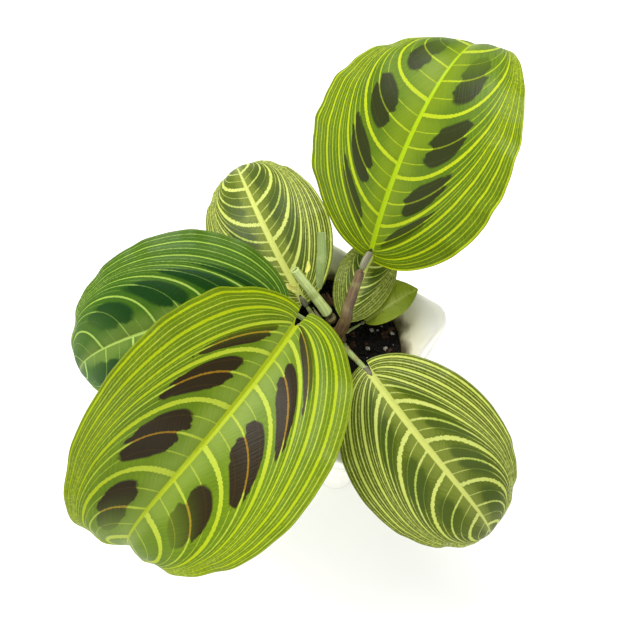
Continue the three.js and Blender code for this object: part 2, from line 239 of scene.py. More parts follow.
# %% [markdown]
# ## Leaf blades: shape
#
# A prayer plant's blade is an oval sheet with a short point and two small lobes at its base. Its
# midrib bends down under its own weight, and each half opens above the midrib and arches over to
# the margin. Modelling seven such sheets by hand would take a long time, so one formula places a
# point from how far it is along the midrib and how far out it is, and each leaf has its own
# numbers. Real blades are quilted: they swell a little between their side veins, sink along the
# midrib and ripple at the margin. That relief is added along the blade's own normal.

# %% The numbers of each leaf, in millimetres and degrees
LEAF_WORDS = ("base", "heading", "bend", "pitch", "droop", "curl", "roll", "twist", "length",
              "left", "right", "widest", "fold_left", "fold_right", "arch_left", "arch_right",
              "lobe")
LEAVES = {
    name: dict(zip(LEAF_WORDS, numbers)) for name, numbers in {
        "upper_right": ((2, 39, 118), 102, -20, 63, 50, 90, -17, 0, 116,
                        50, 50, .45, 10, 15, 25, 25, .05),
        "front": ((-6, -10, 118), 278, -32, 24, 69, 60, -8, -20, 138,
                  48, 49, .45, 22, 28, 12, 6, .07),
        "left": ((-21.3, -2.7, 109), 227, -3, 12.5, 49.5, 45, -21, 0, 108,
                 47, 40, .37, 15, 15, 30, 30, .06),
        "lower_right": ((31, -6, 101), 335, 25, 5, 63, 25, 18, -5, 102,
                        33, 36, .4, 15, 12, 20, 20, .07),
        "upper_left": ((-19, 12, 94), 154, -15, 19, 36, 40, -10, -5, 85,
                       29, 30, .38, 14, 15, 30, 25, .06),
        "middle": ((4.5, 16, 90), 103, -10, 23, 39, 25, 2, 0, 47,
                   12.5, 15, .45, 10, 10, 25, 25, .04),
        "small": ((12, 21, 85), 61, 0, 30, 24, 15, -1, 0, 29,
                  13, 7, .5, 5, 5, 15, 15, .02),
    }.items()
}
MIDRIB_STEPS = 400
TIP_POWER = 2.2
LOBE_REACH = 0.12


# %% Where a point of the blade is
def leaf_frame(leaf, u):
    """Directions along, across and out of the blade at u of the midrib."""
    pitch = np.radians(leaf["pitch"] - leaf["droop"] * u - leaf["curl"] * u ** 6)
    heading = np.radians(leaf["heading"] + leaf["bend"] * u)
    roll = np.radians(leaf["roll"] + leaf["twist"] * u)[:, None]
    along = np.stack([np.cos(pitch) * np.cos(heading), np.cos(pitch) * np.sin(heading),
                      np.sin(pitch)], axis=-1)
    level = np.stack([-np.sin(heading), np.cos(heading), 0 * heading], axis=-1)
    above = np.cross(along, level)
    side = level * np.cos(roll) + above * np.sin(roll)
    normal = above * np.cos(roll) - level * np.sin(roll)
    return along, side, normal


def midrib_place(leaf, u):
    """The midrib's place, found by adding up its direction in short steps from the base."""
    middles = (np.arange(MIDRIB_STEPS) + 0.5) / MIDRIB_STEPS
    steps = leaf_frame(leaf, middles)[0] * leaf["length"] / MIDRIB_STEPS
    places = np.vstack([np.zeros(3), np.cumsum(steps, axis=0)]) + np.array(leaf["base"])
    knots = np.linspace(0, 1, MIDRIB_STEPS + 1)
    return np.stack([np.interp(u, knots, places[:, axis]) for axis in range(3)], axis=-1)


def width_share(leaf, u):
    behind = np.sqrt(np.clip(1 - (1 - u / leaf["widest"]) ** 2, 0, 1))
    ahead_of = 1 - np.clip((u - leaf["widest"]) / (1 - leaf["widest"]), 0, 1) ** TIP_POWER
    return np.where(u < leaf["widest"], behind, ahead_of)


def blade_point(leaf, u, v, height=0.0):
    """u runs from base to tip and v from -1, the right margin, to 1, the left one."""
    along, side, normal = leaf_frame(leaf, u)
    fold = np.radians(np.where(v < 0, leaf["fold_right"], leaf["fold_left"]))
    arch = np.radians(np.where(v < 0, leaf["arch_right"], leaf["arch_left"]))
    width = np.where(v < 0, leaf["right"], leaf["left"]) * width_share(leaf, u)
    reach = np.abs(v)
    out = width * (np.sin(fold) - np.sin(fold - arch * reach)) / arch
    rise = width * (np.cos(fold - arch * reach) - np.cos(fold)) / arch + height
    back = leaf["lobe"] * leaf["length"] * v ** 2 * np.exp(-u / LOBE_REACH)
    return (midrib_place(leaf, u) + side * (np.sign(v) * out)[:, None]
            + normal * rise[:, None] - along * back[:, None])


# %% [markdown]
# ## Leaf blades: the path of the veins
#
# Side veins leave the midrib one after another, a little further apart each time, sweep out and
# bend forwards until they run beside the margin. A number called the phase counts them: it is
# whole on each strong vein, and between two of them lie a fine, a middling and another fine vein.
# The phase and the millimetres between veins are stored in UV maps, so a finish can draw every
# vein at its real width, whatever way the blade bends.

# %% Vein phase and the spacing of the veins
FIRST_VEIN = -0.03
VEIN_STEP = 0.16
VEIN_GROWTH = 0.0175
LOBE_VEINS = 2.3
MOST_GAUGE = 26.0
reach_knots = np.linspace(0, 1, 400)


def sweep_share(reach):
    """What is left of the way to the tip where a vein from the base has come this far out."""
    return (1 - 0.15 * reach) * np.clip(1 - reach ** 3, 1e-6, 1) ** 1.1


def vein_phase(u, reach):
    """Counts strong veins from the first one at the base; below zero in the lobe."""
    start = 1 - (1 - u) / sweep_share(reach) - FIRST_VEIN
    ahead_of = (np.sqrt(VEIN_STEP ** 2 + 4 * VEIN_GROWTH * np.clip(start, 0, None))
                - VEIN_STEP) / (2 * VEIN_GROWTH)
    left_over = np.clip((1 - u) / (1 - FIRST_VEIN), 0, 1)
    first_reach = np.interp(-left_over, -sweep_share(reach_knots), reach_knots)
    behind = -LOBE_VEINS * np.clip((reach - first_reach) / (1.0001 - first_reach), 0, 1)
    return np.where(start > 0, ahead_of, behind)


def vein_gauge(leaf, u, v):
    """Millimetres across the veins for one step of phase, from how fast both change."""
    step = 1e-3
    low_u, high_u = np.clip(u - step, 2e-4, 1), np.clip(u + step, 0, 0.9998)
    low_v, high_v = np.clip(v - step, -0.9999, 0.9999), np.clip(v + step, -0.9999, 0.9999)
    du, dv = (high_u - low_u), (high_v - low_v)
    by_u = (blade_point(leaf, high_u, v) - blade_point(leaf, low_u, v)) / du[:, None]
    by_v = (blade_point(leaf, u, high_v) - blade_point(leaf, u, low_v)) / dv[:, None]
    phase_u = (vein_phase(high_u, np.abs(v)) - vein_phase(low_u, np.abs(v))) / du
    phase_v = (vein_phase(u, np.abs(high_v)) - vein_phase(u, np.abs(low_v))) / dv
    uu, uv, vv = (by_u * by_u).sum(-1), (by_u * by_v).sum(-1), (by_v * by_v).sum(-1)
    area = np.clip(uu * vv - uv ** 2, 1e-6, None)
    steep = (vv * phase_u ** 2 - 2 * uv * phase_u * phase_v + uu * phase_v ** 2) / area
    return np.clip(1 / np.sqrt(np.clip(steep, 1e-6, None)), 0.05, MOST_GAUGE)


# %% Build a blade
BLADE_THICKNESS = 0.4
QUILT = 0.45          # how far the blade swells between strong veins
QUILT_SPACING = 9.0   # veins closer than this give less swelling
MIDRIB_SINK = 0.7
RIPPLE = 0.8          # waves of the margin
RIPPLE_LENGTH = 19.0
INSIDE = (2e-3, 0.9985)   # keeps clear of the midrib and of the margin


def blade_relief(leaf, u, v, phase, gauge, seed):
    """Quilting, the sunken midrib and the rippled margin, as millimetres above the blade."""
    width = np.where(v < 0, leaf["right"], leaf["left"]) * width_share(leaf, u)
    lateral = np.abs(v) * width
    size = leaf["length"] / 116
    quilt = (0.5 - 0.5 * np.cos(2 * np.pi * phase)) * np.clip(gauge / QUILT_SPACING, 0, 1)
    quilt *= np.clip((lateral - 0.6) / 4, 0, 1) * (1 - np.abs(v) ** 6)
    sink = -MIDRIB_SINK * np.exp(-(lateral / 1.8) ** 2) * (1 - u)
    wave = u * leaf["length"] / (RIPPLE_LENGTH * size)
    ripple = np.sin(2 * np.pi * wave + seed) + 0.5 * np.sin(3.7 * np.pi * wave + 2 * seed)
    ripple *= RIPPLE * np.abs(v) ** 5 * np.clip(width / 10, 0, 1)
    return (QUILT * quilt + sink + ripple * np.where(v < 0, 1, 0.8)) * size


def blade_spots(s, t):
    """Where the grid's points lie on the blade: closer together near its base."""
    return 0.0006 + 0.9984 * s ** 1.5, 2 * t - 1


def build_blade(name, leaf, along, across, shifts, seed):
    """The blade with three UV maps; shifts are how far the veins of each half are moved on."""
    def places(s, t):
        u, v = blade_spots(s, t)
        reach = np.abs(v)
        phase = vein_phase(u, reach) + np.where(v < 0, shifts[0], shifts[1])
        inside = np.where(v < 0, -1, 1) * np.clip(reach, *INSIDE)
        gauge = vein_gauge(leaf, u, inside)
        lift = BLADE_THICKNESS / 2 + blade_relief(leaf, u, v, phase, gauge, seed)
        return blade_point(leaf, u, v, lift)

    piece, s, t = lay_grid("blade_" + name, along, across, places)
    u, v = blade_spots(s, t)
    corners = corner_vertices(piece)
    faces = corners.reshape(-1, 4)
    left_face = np.repeat(v[faces].mean(axis=1) > 0, 4)
    veins, gauges = [], []
    for hand, offset in zip((-1, 1), shifts):
        inside = hand * np.clip(np.abs(v), *INSIDE)
        width = leaf["left" if hand > 0 else "right"] * width_share(leaf, u)
        slant = 0.5 * u * leaf["length"] + 0.87 * np.abs(v) * width
        veins.append(np.stack([vein_phase(u, np.abs(v)) + offset, slant], axis=-1)[corners])
        gauge = vein_gauge(leaf, u, inside)
        gauges.append(np.stack([gauge, np.abs(v) * width], axis=-1)[corners])
    write_uv(piece, "veins", np.where(left_face[:, None], veins[1], veins[0]))
    write_uv(piece, "gauge", np.where(left_face[:, None], gauges[1], gauges[0]))
    write_uv(piece, "blade", np.stack([u, v], axis=-1)[corners])
    return piece


# %% [markdown]
# ## Leaf blades: finish
#
# The upper face of the living blade is satin: a thin waxy skin over soft tissue, so its IOR is
# that of plant wax and its roughness about 0.4. Light also passes through it, which a share of
# translucency gives. The colour is laid in the order in which it is seen: a pale grey-green along
# the midrib, a full green beyond it and a yellower margin, then dark blotches between the strong
# veins, a fine ladder of cross veins, and last the veins themselves.

# %% Leaf finish
WAX_IOR = 1.43
LEAF_GLOW = 0.22       # share of the light that comes through a blade
WOBBLE = 0.15          # how far, in millimetres, the edge of a vein strays
LADDER_ACROSS, LADDER_ALONG = 1.7, 1.25   # streaks for each step of phase and each millimetre
BLOTCH_CENTRE, BLOTCH_REACH = 0.43, 0.195   # shares of the way from midrib to margin
BLOTCH_WIDTH = 0.36    # half its width, as a share of the way between two strong veins


def leaf_finish(name, look):
    """The finish of a blade's upper face, from a table of colours and vein widths."""
    material, tree, shader, metres = start_finish(name, 0.42)
    veins, gauge, blade = [wire(tree, SPLIT, wire(tree, UV_MAP, uv_map=name), out=None)
                           for name in ("veins", "gauge", "blade")]
    phase, slant = veins.outputs[0], veins.outputs[1]
    spacing, lateral = gauge.outputs[0], gauge.outputs[1]
    u = blade.outputs[0]
    reach = wire(tree, "ABSOLUTE", blade.outputs[1])
    outward = wire(tree, "POWER", reach, 2.0)

    # The ladder of cross veins: fine streaks that lie across the side veins.
    ladder_place = wire(
        tree, JOIN, wire(tree, "MULTIPLY", phase, LADDER_ACROSS),
        wire(tree, "MULTIPLY", slant, LADDER_ALONG))
    ladder = wire(tree, NOISE, {"Vector": ladder_place, "Scale": 1.0, "Detail": 2.0})
    ladder = wire(tree, RANGE, ladder, 0.38, 0.62, **SMOOTH)
    wobble = wire(
        tree, "MULTIPLY_ADD", wire(tree, NOISE, {"Vector": metres, "Scale": 900}), 2 * WOBBLE,
        -WOBBLE)
    ragged = wire(tree, "MULTIPLY_ADD", ladder, 0.5 * look["ragged"], 1 - 0.25 * look["ragged"])

    def vein(shift, pace, half_width, soft=0.13):
        """One family of veins, as a mask; its width shrinks towards the margin."""
        nearest = wire(tree, "PINGPONG", wire(tree, "MULTIPLY_ADD", phase, pace, shift), 0.5)
        far = wire(tree, "MULTIPLY", wire(tree, "DIVIDE", nearest, pace), spacing)
        far = wire(tree, "ADD", far, wobble)
        thin = wire(tree, "SUBTRACT", 1.12, wire(tree, "MULTIPLY", outward, 0.62))
        width = wire(tree, "MULTIPLY", wire(tree, "MULTIPLY", thin, half_width), ragged)
        width = wire(tree, "MINIMUM", width, wire(tree, "MULTIPLY", spacing, 0.11 * half_width))
        return wire(tree, RANGE, wire(tree, "SUBTRACT", far, width), soft, -soft, **SMOOTH), far

    strong, strong_far = vein(0.0, 1.0, look["strong"])
    middling, _ = vein(0.5, 1.0, look["middling"])
    fine, _ = vein(0.5, 2.0, look["fine"], 0.10)

    # Ground colour from the midrib outwards, with slow changes across the blade.
    patches = wire(
        tree, RANGE, wire(tree, NOISE, {"Vector": metres, "Scale": 45}), 0.35, 0.65, **SMOOTH)
    inner = wire(
        tree, RANGE, wire(tree, "ADD", reach, wire(tree, "MULTIPLY", patches, 0.06)), 0.34, 0.10,
        **SMOOTH)
    ground = wire(tree, MIX, {0: patches, 6: look["body"], 7: look["body_deep"]}, **COLOURS)
    ground = wire(
        tree, MIX, {0: wire(tree, "MULTIPLY", inner, 0.85), 6: ground, 7: look["inner"]},
        **COLOURS)
    margin = wire(tree, RANGE, reach, 0.62, 1.0, 0, 0.55, **SMOOTH)
    ground = wire(tree, MIX, {0: margin, 6: ground, 7: look["margin"]}, **COLOURS)
    beside = wire(tree, RANGE, strong_far, 3.2, 0.6, 0, 0.35, **SMOOTH)
    ground = wire(tree, MIX, {0: beside, 6: ground, 7: look["body_deep"]}, **COLOURS)

    # Blotches: two-lobed ovals between strong veins, centred on the middling one.
    fraction = wire(tree, "FRACT", phase)
    off_centre = wire(tree, "SUBTRACT", fraction, 0.5)
    round_off = wire(tree, "MULTIPLY", wire(tree, NOISE, {"Vector": metres, "Scale": 260}), 0.09)
    across = wire(tree, "POWER", wire(tree, "DIVIDE", off_centre, BLOTCH_WIDTH), 2.0)
    outwards = wire(
        tree, "DIVIDE", wire(tree, "SUBTRACT", wire(tree, "ADD", reach, round_off), BLOTCH_CENTRE),
        BLOTCH_REACH * look["blotch_size"])
    lengthwise = wire(tree, "POWER", wire(tree, "ABSOLUTE", outwards), 2.6)
    cleft = wire(tree, RANGE, wire(tree, "ABSOLUTE", off_centre), 0.09, 0.0, 0, 0.75, **SMOOTH)
    cleft = wire(tree, "MULTIPLY", cleft, wire(tree, "ABSOLUTE", outwards))
    oval = wire(tree, "ADD", wire(tree, "ADD", across, lengthwise), cleft)
    blotch = wire(
        tree, RANGE, oval, 1.0 + look["blotch_soft"], 1.0 - look["blotch_soft"], **SMOOTH)
    blotch = wire(tree, "MULTIPLY", blotch, wire(tree, RANGE, phase, -0.6, 0.9, **SMOOTH))
    blotch = wire(tree, "MULTIPLY", blotch, wire(tree, RANGE, phase, 4.3, 3.2, **SMOOTH))
    blotch = wire(tree, "MULTIPLY", blotch, look["blotch_depth"])
    ground = wire(tree, MIX, {0: blotch, 6: ground, 7: look["blotch"]}, **COLOURS)

    # The ladder darkens the tissue between the veins, most where the leaf shows it most.
    ladder_tone = wire(tree, "MULTIPLY", ladder, look["ladder"])
    ladder_tone = wire(
        tree, "MULTIPLY", ladder_tone, wire(tree, RANGE, reach, 0.02, 0.4, **SMOOTH))
    ladder_tone = wire(tree, "MULTIPLY", ladder_tone, wire(tree, "SUBTRACT", 1.0, blotch))
    ground = wire(tree, MIX, {0: ladder_tone, 6: ground, 7: look["ladder_colour"]}, **COLOURS)

    # The veins, with the middling and fine ones tinted where they cross a blotch.
    stained = wire(tree, "MULTIPLY", blotch, 0.92)
    small_vein = wire(tree, MIX, {0: stained, 6: look["vein"], 7: look["blotch_vein"]}, **COLOURS)
    fine = wire(
        tree, "MULTIPLY", fine,
        wire(tree, "SUBTRACT", look["fine_depth"], wire(tree, "MULTIPLY", blotch, 0.6)))
    surface = wire(tree, MIX, {0: fine, 6: ground, 7: small_vein}, **COLOURS)
    surface = wire(
        tree, MIX,
        {0: wire(tree, "MULTIPLY", middling, look["middling_depth"]), 6: surface, 7: small_vein},
        **COLOURS)
    strong_colour = wire(
        tree, MIX,
        {0: wire(tree, RANGE, reach, 0.1, 0.8, **SMOOTH), 6: look["vein"], 7: look["vein_out"]},
        **COLOURS)
    surface = wire(tree, MIX, {0: strong, 6: surface, 7: strong_colour}, **COLOURS)
    rib_width = wire(tree, "SUBTRACT", 1.05, wire(tree, "POWER", u, 2.2))
    rib_width = wire(tree, "MULTIPLY", rib_width, look["midrib_width"])
    rib = wire(tree, "SUBTRACT", wire(tree, "ADD", lateral, wobble), rib_width)
    surface = wire(
        tree, MIX,
        {0: wire(tree, RANGE, rib, 0.25, -0.25, **SMOOTH), 6: surface, 7: look["midrib"]},
        **COLOURS)
    edge = wire(tree, RANGE, reach, 0.982, 0.996, 0, 0.7, **SMOOTH)
    surface = wire(tree, MIX, {0: edge, 6: surface, 7: look["edge"]}, **COLOURS)

    height = wire(
        tree, "ADD", wire(tree, "MULTIPLY", strong, -0.5), wire(tree, "MULTIPLY", ladder, 0.22))
    height = wire(tree, "SUBTRACT", height, wire(tree, "MULTIPLY", middling, 0.35))
    height = wire(tree, "SUBTRACT", height, wire(tree, "MULTIPLY", fine, 0.2))
    height = wire(
        tree, "ADD", height,
        wire(
            tree, "MULTIPLY", wire(tree, NOISE, {"Vector": metres, "Scale": 2600, "Detail": 1.0}),
            0.15))
    raise_bumps(tree, shader, height, 0.22, 0.8)
    tree.links.new(surface, shader.inputs["Base Color"])
    shader.inputs["IOR"].default_value = WAX_IOR
    shader.inputs["Specular IOR Level"].default_value = 0.25

    through = wire(tree, "ShaderNodeBsdfTranslucent", {"Color": surface})
    both = wire(tree, "ShaderNodeMixShader", {0: LEAF_GLOW, 1: shader.outputs[0], 2: through})
    tree.links.new(both, tree.nodes["Material Output"].inputs["Surface"])
    return material


# %% Underside finish
def underside_finish():
    """The matte paler back of the blade, where the veins stand out a little lighter."""
    material, tree, shader, metres = start_finish("leaf_underside_matte", 0.6)
    veins, gauge = [wire(tree, SPLIT, wire(tree, UV_MAP, uv_map=name), out=None)
                    for name in ("veins", "gauge")]
    far = wire(tree, "MULTIPLY", wire(tree, "PINGPONG", veins.outputs[0], 0.5), gauge.outputs[0])
    strong = wire(tree, RANGE, far, 1.1, 0.5, **SMOOTH)
    near_half = wire(tree, "PINGPONG", wire(tree, "MULTIPLY", veins.outputs[0], 4.0), 0.5)
    fine_far = wire(tree, "MULTIPLY", wire(tree, "MULTIPLY", near_half, 0.25), gauge.outputs[0])
    fine = wire(tree, RANGE, fine_far, 0.35, 0.15, 0, 0.5, **SMOOTH)
    rib = wire(tree, RANGE, gauge.outputs[1], 2.0, 1.2, **SMOOTH)
    veined = wire(tree, "MAXIMUM", wire(tree, "MAXIMUM", strong, fine), rib)
    ground = wire(
        tree, MIX,
        {
            0: wire(tree, NOISE, {"Vector": metres, "Scale": 70, "Detail": 3.0}), 6: "#93ab62",
            7: "#a9bd7c"},
        **COLOURS)
    surface = wire(
        tree, MIX, {0: wire(tree, "MULTIPLY", veined, 0.7), 6: ground, 7: "#cfdc93"}, **COLOURS)
    tree.links.new(surface, shader.inputs["Base Color"])
    raise_bumps(tree, shader, veined, 0.35, 0.7)
    through = wire(tree, "ShaderNodeBsdfTranslucent", {"Color": surface})
    both = wire(tree, "ShaderNodeMixShader", {0: LEAF_GLOW, 1: shader.outputs[0], 2: through})
    tree.links.new(both, tree.nodes["Material Output"].inputs["Surface"])
    return material


underside = underside_finish()

# %% The look of each leaf
LIME = {
    "body": "#6e8802", "body_deep": "#5d7802", "inner": "#7e9434", "margin": "#788802",
    "vein": "#afbe39", "vein_out": "#a6b602", "midrib": "#a9b920", "edge": "#889505",
    "blotch": "#281e02", "blotch_vein": "#8e6202", "ladder_colour": "#526e02",
    "blotch_size": 1.0, "blotch_soft": 0.12, "blotch_depth": 1.0, "strong": 0.85, "middling": 0.36,
    "fine": 0.17, "midrib_width": 1.6, "middling_depth": 0.9, "fine_depth": 0.65, "ragged": 0.6,
    "ladder": 0.5,
}
OLIVE = {
    **LIME,
    "body": "#617c02", "body_deep": "#546f02", "inner": "#72880c", "margin": "#728402",
    "vein": "#a9b914", "vein_out": "#afbc05", "midrib": "#a0ba02", "edge": "#889505",
    "blotch": "#283002", "blotch_vein": "#6e7c05", "ladder_colour": "#466202",
    "blotch_size": 0.85, "blotch_soft": 0.16, "strong": 0.68, "middling": 0.30,
    "midrib_width": 1.2,
}
# Painted shade: the left leaf lies on the shadow side, so its greens are painted darker than the
# other leaves'; its thinner veins and softer blotches are its own.
PAINTED_SHADE_LOOK = {
    **LIME,
    "body": "#46690f", "body_deep": "#366002", "inner": "#698231", "margin": "#4d690f",
    "vein": "#a4bf57", "vein_out": "#9bb742", "midrib": "#a5be58", "edge": "#637734",
    "blotch": "#0f3b02", "blotch_vein": "#496e20", "ladder_colour": "#305802",
    "blotch_soft": 0.3, "blotch_size": 1.1, "strong": 0.42, "middling": 0.17, "fine": 0.10,
    "midrib_width": 0.8, "fine_depth": 0.35, "ragged": 0.2, "ladder": 0.2,
}
STRIPED = {
    **LIME,
    "body": "#607002", "body_deep": "#526202", "inner": "#788430", "margin": "#70780f",
    "vein": "#c3cb6c", "vein_out": "#bcc659", "midrib": "#c3c969", "edge": "#707c2c",
    "blotch": "#364802", "blotch_vein": "#9cb03b", "ladder_colour": "#425102",
    "blotch_soft": 0.45, "blotch_depth": 0.8, "strong": 0.85, "middling": 0.42, "fine": 0.18,
    "midrib_width": 1.5, "middling_depth": 0.92, "fine_depth": 0.7, "ragged": 1.0, "ladder": 0.75,
}
SLENDER = {**STRIPED, "strong": 0.5, "middling": 0.26, "fine": 0.12, "midrib_width": 0.8}
YOUNG = {
    **LIME,
    "body": "#8e9e2c", "body_deep": "#7d8e19", "inner": "#95a442", "margin": "#8e9c2c",
    "vein": "#708120", "vein_out": "#708120", "midrib": "#a3b051", "edge": "#95a33b",
    "blotch": "#7d8e19", "blotch_vein": "#708120", "ladder_colour": "#77881e",
    "blotch_depth": 0.0, "strong": 0.28, "middling": 0.2, "fine": 0.14, "midrib_width": 0.5,
    "middling_depth": 0.5, "fine_depth": 0.4, "ragged": 0.2, "ladder": 0.2,
}

# %% Make the seven blades
BLADES = {
    "upper_right": (OLIVE, "leaf_lime", 170, 120, (0.2, 0.0)),
    "front": (LIME, "leaf_lime", 190, 120, (0.0, 0.45)),
    # The left leaf's darker greens are painted shade.
    "left": (PAINTED_SHADE_LOOK, "leaf_deep", 170, 120, (0.45, 0.0)),
    "lower_right": (STRIPED, "leaf_striped", 150, 100, (0.35, 0.0)),
    "upper_left": (STRIPED, "leaf_striped", 140, 96, (0.1, 0.6)),
    "middle": (SLENDER, "leaf_striped", 90, 60, (0.2, 0.0)),
    "small": (YOUNG, "leaf_young", 60, 40, (0.3, 0.0)),
}
for number, (leaf_name, (look, slot_name, along, across, shifts)) in enumerate(BLADES.items()):
    blade_piece = build_blade(leaf_name, LEAVES[leaf_name], along, across, shifts, 1.7 * number)
    blade_piece.data.materials.append(leaf_finish("living_leaf_" + leaf_name, look))
    blade_piece.data.materials.append(underside)
    apply_modifier(blade_piece, "SOLIDIFY", thickness=BLADE_THICKNESS * MM, offset=-1,
                   material_offset=1, material_offset_rim=0)
    settle(blade_piece, ["leaf_" + leaf_name], None)

# %% [markdown]
# ## Stalks, crown and sheaths: shape
#
# Each blade hangs on a swollen joint, the pulvinus, at the end of a round stalk. The joint works as
# a knee that lifts the leaf at night. Such a stalk is a tube along a curve: a circle carried along
# a path that never twists, with its radius given at stations along the way, so the same function
# also makes the hollow cut stub, whose stations run out to the cut and back into the bore.

# %% A path and a tube along it
PATH_STEPS = 240


def smooth_path(points):
    """Points on a curve through the given ones, equally spaced, with directions that don't twist."""
    knots = np.array(points, dtype=float)
    padded = np.vstack([2 * knots[0] - knots[1], knots, 2 * knots[-1] - knots[-2]])
    places = []
    for i in range(1, len(padded) - 2):
        a, b, c, d = padded[i - 1:i + 3]
        for x in np.linspace(0, 1, 40, endpoint=False):
            places.append(0.5 * (2 * b + (c - a) * x + (2 * a - 5 * b + 4 * c - d) * x ** 2
                                 + (3 * b - a - 3 * c + d) * x ** 3))
    places = np.array(places + [knots[-1]])
    reach = np.concatenate([[0], np.cumsum(np.linalg.norm(np.diff(places, axis=0), axis=1))])
    even = np.linspace(0, reach[-1], PATH_STEPS + 1)
    places = np.stack([np.interp(even, reach, places[:, k]) for k in range(3)], axis=-1)
    tangents = np.gradient(places, axis=0)
    tangents /= np.linalg.norm(tangents, axis=1)[:, None]
    axis = np.eye(3)[np.argmin(np.abs(tangents[0]))]
    normal = np.cross(tangents[0], np.cross(tangents[0], axis))
    normals = []
    for tangent in tangents:
        normal = normal - tangent * (normal @ tangent)
        normal /= np.linalg.norm(normal)
        normals.append(normal)
    return even, places, np.array(normals), np.cross(tangents, np.array(normals))


def on_path(path, far):
    """Place, normal and binormal at these distances along the path."""
    even, *columns = path
    return [np.stack([np.interp(far, even, column[:, k]) for k in range(3)], axis=-1)
            for column in columns]


def tube(name, points, stations, along=60, around=28, relief=None):
    """A closed tube: stations list how far along the path and how wide, in millimetres."""
    path = smooth_path(points)
    length = path[0][-1]
    far_at, wide_at = np.array(stations, dtype=float).T
    spots = np.linspace(0, 1, len(stations))

    def places(s, t):
        far = np.clip(np.interp(s, spots, far_at), 0, length)
        angle = -2 * np.pi * t
        centre, normal, binormal = on_path(path, far)
        radius = np.interp(s, spots, wide_at)
        if relief is not None:
            radius = radius * (1 + relief(far, angle))
        return (centre + normal * (radius * np.cos(angle))[:, None]
                + binormal * (radius * np.sin(angle))[:, None])

    piece, s, t = lay_grid(name, along, around, places)
    run = np.stack([np.interp(s, spots, far_at), t], axis=-1)[corner_vertices(piece)]
    write_uv(piece, "run", run)
    weld_closed(piece)
    return piece


def rounded_stations(length, radius_at, steps=40, start=0.0):
    """Stations of a solid rod with gently rounded ends."""
    stations = []
    for i in range(steps + 1):
        x = 0.5 - 0.5 * math.cos(math.pi * i / steps)
        far = x * length
        ends = min(far, length - far) / (0.5 * radius_at(0.5))
        stations.append((start + far, radius_at(x) * math.sqrt(max(0, 1 - max(0, 1 - ends) ** 2))))
    return stations


# %% [markdown]
# ## Stalks, crown and sheaths: finish
#
# Plant stalks are satin and streaked along their length, because their fibres run that way. One
# function lays two colours in long streaks over a pale or brown ground, and a third where the
# piece is old or stained. It reads the piece's own run map, whose first number is millimetres
# along and whose second goes once around.

# %% Streaked finish for stalks and sheaths
def streaked_finish(name, colours, roughness, streak_count, relief_mm, through=0.0):
    material, tree, shader, metres = start_finish(name, roughness)
    run = wire(tree, SPLIT, wire(tree, UV_MAP, uv_map="run"), out=None)
    turn = wire(tree, "MULTIPLY", run.outputs[1], 2 * math.pi)
    ring = wire(
        tree, JOIN, wire(tree, "MULTIPLY", wire(tree, "COSINE", turn), streak_count / 6),
        wire(tree, "MULTIPLY", wire(tree, "SINE", turn), streak_count / 6),
        wire(tree, "MULTIPLY", run.outputs[0], 0.10))
    streaks = wire(tree, NOISE, {"Vector": ring, "Scale": 1.0, "Detail": 4.0})
    base = wire(
        tree, MIX,
        {0: wire(tree, RANGE, streaks, 0.38, 0.62, **SMOOTH), 6: colours[0], 7: colours[1]},
        **COLOURS)
    stain = wire(
        tree, RANGE, wire(tree, NOISE, {"Vector": metres, "Scale": 190, "Detail": 4.0}), 0.50,
        0.72, 0, 0.8, **SMOOTH)
    surface = wire(tree, MIX, {0: stain, 6: base, 7: colours[2]}, **COLOURS)
    tree.links.new(surface, shader.inputs["Base Color"])
    height = wire(
        tree, "ADD", streaks,
        wire(tree, "MULTIPLY", wire(tree, NOISE, {"Vector": metres, "Scale": 1800}), 0.3))
    raise_bumps(tree, shader, height, relief_mm, 0.9)
    if through:
        glow = wire(tree, "ShaderNodeBsdfTranslucent", {"Color": surface})
        both = wire(tree, "ShaderNodeMixShader", {0: through, 1: shader.outputs[0], 2: glow})
        tree.links.new(both, tree.nodes["Material Output"].inputs["Surface"])
    return material


stalk_green = streaked_finish(
    "green_stalk_satin", ("#9caa62", "#83935a", "#8a7a52"), 0.45, 30, 0.25)
stalk_red = streaked_finish("red_brown_stalk", ("#66532f", "#4a321e", "#716a3c"), 0.5, 12, 0.2)
joint_grey = streaked_finish("grey_brown_joint", ("#84826a", "#5f5c44", "#4a3f2c"), 0.62, 36, 0.35)
pale_stem = streaked_finish("cut_stem_waxy", ("#c2d08c", "#a3b463", "#8fa04e"), 0.42, 36, 0.3)
crown_brown = streaked_finish("crown_fibre", ("#6c5f3a", "#4c3a24", "#86824a"), 0.7, 30, 0.5)
sheath_brown = streaked_finish("brown_sheath_papery", ("#6a4a2e", "#3c2614", "#8a744a"),
                               0.75, 24, 0.3, 0.1)
sheath_pale = streaked_finish("pale_sheath_papery", ("#b9b888", "#93905c", "#7c6a44"),
                              0.7, 24, 0.3, 0.15)
scrap_yellow = streaked_finish("torn_yellow_sheath", ("#f0ee86", "#e2e062", "#fbf8b8"),
                               0.65, 20, 0.25, 0.25)
rolled_green = streaked_finish("rolled_leaf_back", ("#93a660", "#7f9450", "#a9b878"),
                               0.5, 26, 0.25, 0.15)

